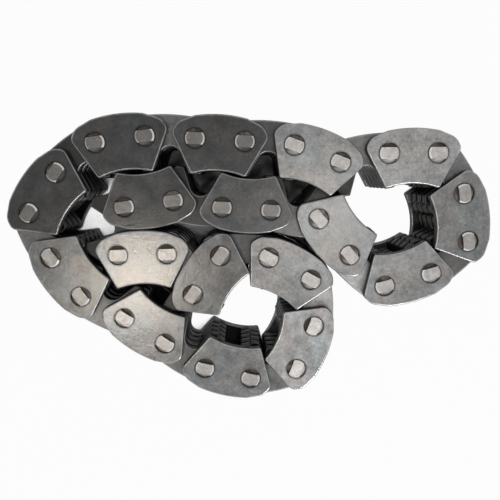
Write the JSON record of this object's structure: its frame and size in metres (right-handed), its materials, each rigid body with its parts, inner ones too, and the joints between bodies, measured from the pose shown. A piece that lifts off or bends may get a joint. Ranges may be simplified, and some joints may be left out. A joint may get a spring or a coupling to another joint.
{
  "type": "inverted tooth chain",
  "caption": "Endless silent chain of toothed link plates and guide plates on flat-sided pins, lying on its side in a folded heap; turns gear sprockets that sit inside its loop.",
  "frame": {"origin": "on the floor under the middle of the folded chain's box", "axes": "+Z along the pins, away from the floor the chain rests on; +X along the fold's length towards the end with the rounder lobe; +Y towards the long straight run at the chain's back"},
  "size_m": [0.0946, 0.057, 0.0173],
  "materials": {
    "plate_steel": "blanked and tumbled steel, brushed look, light stains",
    "toothed_steel": "hardened steel with an oily dark tone",
    "pin_steel": "ground and bevelled pin ends"
  },
  "bodies": {
    "guide_link_01": {"guide_row_01": "plate_steel", "pins_01": "pin_steel"},
    "inner_link_01": {"inner_row_01": "toothed_steel"},
    "guide_link_02": {"guide_row_02": "plate_steel", "pins_02": "pin_steel"},
    "inner_link_02": {"inner_row_02": "toothed_steel"},
    "guide_link_03": {"guide_row_03": "plate_steel", "pins_03": "pin_steel"},
    "inner_link_03": {"inner_row_03": "toothed_steel"},
    "guide_link_04": {"guide_row_04": "plate_steel", "pins_04": "pin_steel"},
    "inner_link_04": {"inner_row_04": "toothed_steel"},
    "guide_link_05": {"guide_row_05": "plate_steel", "pins_05": "pin_steel"},
    "inner_link_05": {"inner_row_05": "toothed_steel"},
    "guide_link_06": {"guide_row_06": "plate_steel", "pins_06": "pin_steel"},
    "inner_link_06": {"inner_row_06": "toothed_steel"},
    "guide_link_07": {"guide_row_07": "plate_steel", "pins_07": "pin_steel"},
    "inner_link_07": {"inner_row_07": "toothed_steel"},
    "guide_link_08": {"guide_row_08": "plate_steel", "pins_08": "pin_steel"},
    "inner_link_08": {"inner_row_08": "toothed_steel"},
    "guide_link_09": {"guide_row_09": "plate_steel", "pins_09": "pin_steel"},
    "inner_link_09": {"inner_row_09": "toothed_steel"},
    "guide_link_10": {"guide_row_10": "plate_steel", "pins_10": "pin_steel"},
    "inner_link_10": {"inner_row_10": "toothed_steel"},
    "guide_link_11": {"guide_row_11": "plate_steel", "pins_11": "pin_steel"},
    "inner_link_11": {"inner_row_11": "toothed_steel"},
    "guide_link_12": {"guide_row_12": "plate_steel", "pins_12": "pin_steel"},
    "inner_link_12": {"inner_row_12": "toothed_steel"},
    "guide_link_13": {"guide_row_13": "plate_steel", "pins_13": "pin_steel"},
    "inner_link_13": {"inner_row_13": "toothed_steel"},
    "guide_link_14": {"guide_row_14": "plate_steel", "pins_14": "pin_steel"},
    "inner_link_14": {"inner_row_14": "toothed_steel"},
    "guide_link_15": {"guide_row_15": "plate_steel", "pins_15": "pin_steel"},
    "inner_link_15": {"inner_row_15": "toothed_steel"},
    "guide_link_16": {"guide_row_16": "plate_steel", "pins_16": "pin_steel"},
    "inner_link_16": {"inner_row_16": "toothed_steel"},
    "guide_link_17": {"guide_row_17": "plate_steel", "pins_17": "pin_steel"},
    "inner_link_17": {"inner_row_17": "toothed_steel"}
  },
  "joints": [
    {"name": "hinge_09_right", "type": "hinge", "parent": "guide_link_09", "child": "inner_link_09", "pos_m": [-0.00124, 0.02311, 0.00865], "axis": [0, 0, 1], "range_deg": [0, 2.91]},
    {"name": "hinge_10_left", "type": "hinge", "parent": "inner_link_09", "child": "guide_link_10", "pos_m": [0.00826, 0.02244, 0.00865], "axis": [0, 0, 1], "range_deg": [0, 12]},
    {"name": "hinge_10_right", "type": "hinge", "parent": "guide_link_10", "child": "inner_link_10", "pos_m": [0.01721, 0.01918, 0.00865], "axis": [0, 0, 1], "range_deg": [-12, 0]},
    {"name": "hinge_11_left", "type": "hinge", "parent": "inner_link_10", "child": "guide_link_11", "pos_m": [0.02658, 0.02092, 0.00865], "axis": [0, 0, 1], "range_deg": [-7.62, 0]},
    {"name": "hinge_11_right", "type": "hinge", "parent": "guide_link_11", "child": "inner_link_11", "pos_m": [0.0361, 0.021, 0.00865], "axis": [0, 0, 1], "range_deg": [0, 3.93]},
    {"name": "hinge_12_left", "type": "hinge", "parent": "inner_link_11", "child": "guide_link_12", "pos_m": [0.04156, 0.0132, 0.00865], "axis": [0, 0, 1], "range_deg": [0, 2.82]},
    {"name": "hinge_12_right", "type": "hinge", "parent": "guide_link_12", "child": "inner_link_12", "pos_m": [0.04289, 0.00377, 0.00865], "axis": [0, 0, 1], "range_deg": [0, 9.03]},
    {"name": "hinge_13_left", "type": "hinge", "parent": "inner_link_12", "child": "guide_link_13", "pos_m": [0.03581, -0.00261, 0.00865], "axis": [0, 0, 1], "range_deg": [0, 6.85]},
    {"name": "hinge_13_right", "type": "hinge", "parent": "guide_link_13", "child": "inner_link_13", "pos_m": [0.02663, -0.00515, 0.00865], "axis": [0, 0, 1], "range_deg": [0, 2.26]},
    {"name": "hinge_14_left", "type": "hinge", "parent": "inner_link_13", "child": "guide_link_14", "pos_m": [0.01944, 0.0011, 0.00865], "axis": [0, 0, 1], "range_deg": [-8.7, 0]},
    {"name": "hinge_14_right", "type": "hinge", "parent": "guide_link_14", "child": "inner_link_14", "pos_m": [0.0132, 0.00829, 0.00865], "axis": [0, 0, 1], "range_deg": [-11.24, 0]},
    {"name": "hinge_15_left", "type": "hinge", "parent": "inner_link_14", "child": "guide_link_15", "pos_m": [0.00382, 0.00994, 0.00865], "axis": [0, 0, 1], "range_deg": [0, 5.69]},
    {"name": "hinge_15_right", "type": "hinge", "parent": "guide_link_15", "child": "inner_link_15", "pos_m": [-0.00569, 0.01052, 0.00865], "axis": [0, 0, 1], "range_deg": [-12, 0]},
    {"name": "hinge_16_left", "type": "hinge", "parent": "inner_link_15", "child": "guide_link_16", "pos_m": [-0.01512, 0.01185, 0.00865], "axis": [0, 0, -1], "range_deg": [0, 0.29]},
    {"name": "hinge_16_right", "type": "hinge", "parent": "guide_link_16", "child": "inner_link_16", "pos_m": [-0.02457, 0.0106, 0.00865], "axis": [0, 0, 1], "range_deg": [0, 3.11]},
    {"name": "hinge_17_left", "type": "hinge", "parent": "inner_link_16", "child": "guide_link_17", "pos_m": [-0.02614, 0.00121, 0.00865], "axis": [0, 0, 1], "range_deg": [-5, 0]},
    {"name": "hinge_09_left", "type": "hinge", "parent": "guide_link_09", "child": "inner_link_08", "pos_m": [-0.01075, 0.02369, 0.00865], "axis": [0, 0, -1], "range_deg": [-12, 0]},
    {"name": "hinge_08_right", "type": "hinge", "parent": "inner_link_08", "child": "guide_link_08", "pos_m": [-0.02026, 0.0241, 0.00865], "axis": [0, 0, -1], "range_deg": [0, 2.36]},
    {"name": "hinge_08_left", "type": "hinge", "parent": "guide_link_08", "child": "inner_link_07", "pos_m": [-0.02971, 0.02286, 0.00865], "axis": [0, 0, -1], "range_deg": [0, 11.68]},
    {"name": "hinge_07_right", "type": "hinge", "parent": "inner_link_07", "child": "guide_link_07", "pos_m": [-0.03741, 0.01726, 0.00865], "axis": [0, 0, -1], "range_deg": [0, 4.07]},
    {"name": "hinge_07_left", "type": "hinge", "parent": "guide_link_07", "child": "inner_link_06", "pos_m": [-0.04294, 0.00951, 0.00865], "axis": [0, 0, 1], "range_deg": [-12, 0]},
    {"name": "hinge_06_right", "type": "hinge", "parent": "inner_link_06", "child": "guide_link_06", "pos_m": [-0.03922, 0.00074, 0.00865], "axis": [0, 0, -1], "range_deg": [0, 5.18]},
    {"name": "hinge_06_left", "type": "hinge", "parent": "guide_link_06", "child": "inner_link_05", "pos_m": [-0.03369, -0.00702, 0.00865], "axis": [0, 0, 1], "range_deg": [0, 11.27]},
    {"name": "hinge_05_right", "type": "hinge", "parent": "inner_link_05", "child": "guide_link_05", "pos_m": [-0.02528, -0.01149, 0.00865], "axis": [0, 0, -1], "range_deg": [-11, 0]},
    {"name": "hinge_05_left", "type": "hinge", "parent": "guide_link_05", "child": "inner_link_04", "pos_m": [-0.01734, -0.01674, 0.00865], "axis": [0, 0, -1], "range_deg": [0, 2.67]},
    {"name": "hinge_04_right", "type": "hinge", "parent": "inner_link_04", "child": "guide_link_04", "pos_m": [-0.0094, -0.022, 0.00865], "axis": [0, 0, -1], "range_deg": [0, 7.02]},
    {"name": "hinge_04_left", "type": "hinge", "parent": "guide_link_04", "child": "inner_link_03", "pos_m": [-0.00013, -0.02423, 0.00865], "axis": [0, 0, 1], "range_deg": [-11.19, 0]},
    {"name": "hinge_03_right", "type": "hinge", "parent": "inner_link_03", "child": "guide_link_03", "pos_m": [0.00918, -0.02224, 0.00865], "axis": [0, 0, -1], "range_deg": [-0.77, 0]},
    {"name": "hinge_03_left", "type": "hinge", "parent": "guide_link_03", "child": "inner_link_02", "pos_m": [0.0126, -0.01335, 0.00865], "axis": [0, 0, -1], "range_deg": [-1.2, 0]},
    {"name": "hinge_02_right", "type": "hinge", "parent": "inner_link_02", "child": "guide_link_02", "pos_m": [0.01185, -0.00386, 0.00865], "axis": [0, 0, 1], "range_deg": [0, 0.98]},
    {"name": "hinge_02_left", "type": "hinge", "parent": "guide_link_02", "child": "inner_link_01", "pos_m": [0.00344, 0.00061, 0.00865], "axis": [0, 0, 1], "range_deg": [-3.52, 0]},
    {"name": "hinge_01_right", "type": "hinge", "parent": "inner_link_01", "child": "guide_link_01", "pos_m": [-0.00608, 0.00103, 0.00865], "axis": [0, 0, 1], "range_deg": [0, 4]},
    {"name": "hinge_01_left", "type": "hinge", "parent": "guide_link_01", "child": "inner_link_17", "pos_m": [-0.01161, -0.00672, 0.00865], "axis": [0, 0, 1], "range_deg": [0, 11.92]}
  ],
  "couplings": [
    {"joint": "hinge_07_right", "follows": "hinge_15_right", "ratio": -0.3384},
    {"joint": "hinge_13_right", "follows": "hinge_15_right", "ratio": -0.1878},
    {"joint": "hinge_15_left", "follows": "hinge_15_right", "ratio": -0.4738},
    {"joint": "hinge_11_left", "follows": "hinge_10_left", "ratio": -0.6344},
    {"joint": "hinge_13_left", "follows": "hinge_10_left", "ratio": 0.5708},
    {"joint": "hinge_14_right", "follows": "hinge_10_left", "ratio": -0.9364},
    {"joint": "hinge_06_left", "follows": "hinge_07_left", "ratio": -0.9387},
    {"joint": "hinge_04_left", "follows": "hinge_07_left", "ratio": 0.9318},
    {"joint": "hinge_01_left", "follows": "hinge_07_left", "ratio": -0.9931},
    {"joint": "hinge_06_right", "follows": "hinge_05_right", "ratio": -0.4705},
    {"joint": "hinge_04_right", "follows": "hinge_05_right", "ratio": -0.6377},
    {"joint": "hinge_03_left", "follows": "hinge_05_right", "ratio": 0.1082},
    {"joint": "hinge_05_left", "follows": "hinge_17_left", "ratio": -0.533},
    {"joint": "hinge_03_right", "follows": "hinge_17_left", "ratio": 0.1538},
    {"joint": "hinge_16_right", "follows": "hinge_17_left", "ratio": -0.6208},
    {"joint": "hinge_02_right", "follows": "hinge_01_right", "ratio": 0.2446},
    {"joint": "hinge_02_left", "follows": "hinge_01_right", "ratio": -0.8791},
    {"joint": "hinge_16_left", "follows": "hinge_01_right", "ratio": 0.0723},
    {"joint": "hinge_14_left", "follows": "hinge_09_left", "ratio": 0.7249},
    {"joint": "hinge_12_right", "follows": "hinge_09_left", "ratio": -0.752},
    {"joint": "hinge_08_left", "follows": "hinge_09_left", "ratio": -0.9729},
    {"joint": "hinge_12_left", "follows": "hinge_10_right", "ratio": -0.2345},
    {"joint": "hinge_11_right", "follows": "hinge_10_right", "ratio": -0.3273},
    {"joint": "hinge_09_right", "follows": "hinge_10_right", "ratio": -0.2421},
    {"joint": "hinge_08_right", "follows": "hinge_10_right", "ratio": -0.196}
  ]
}
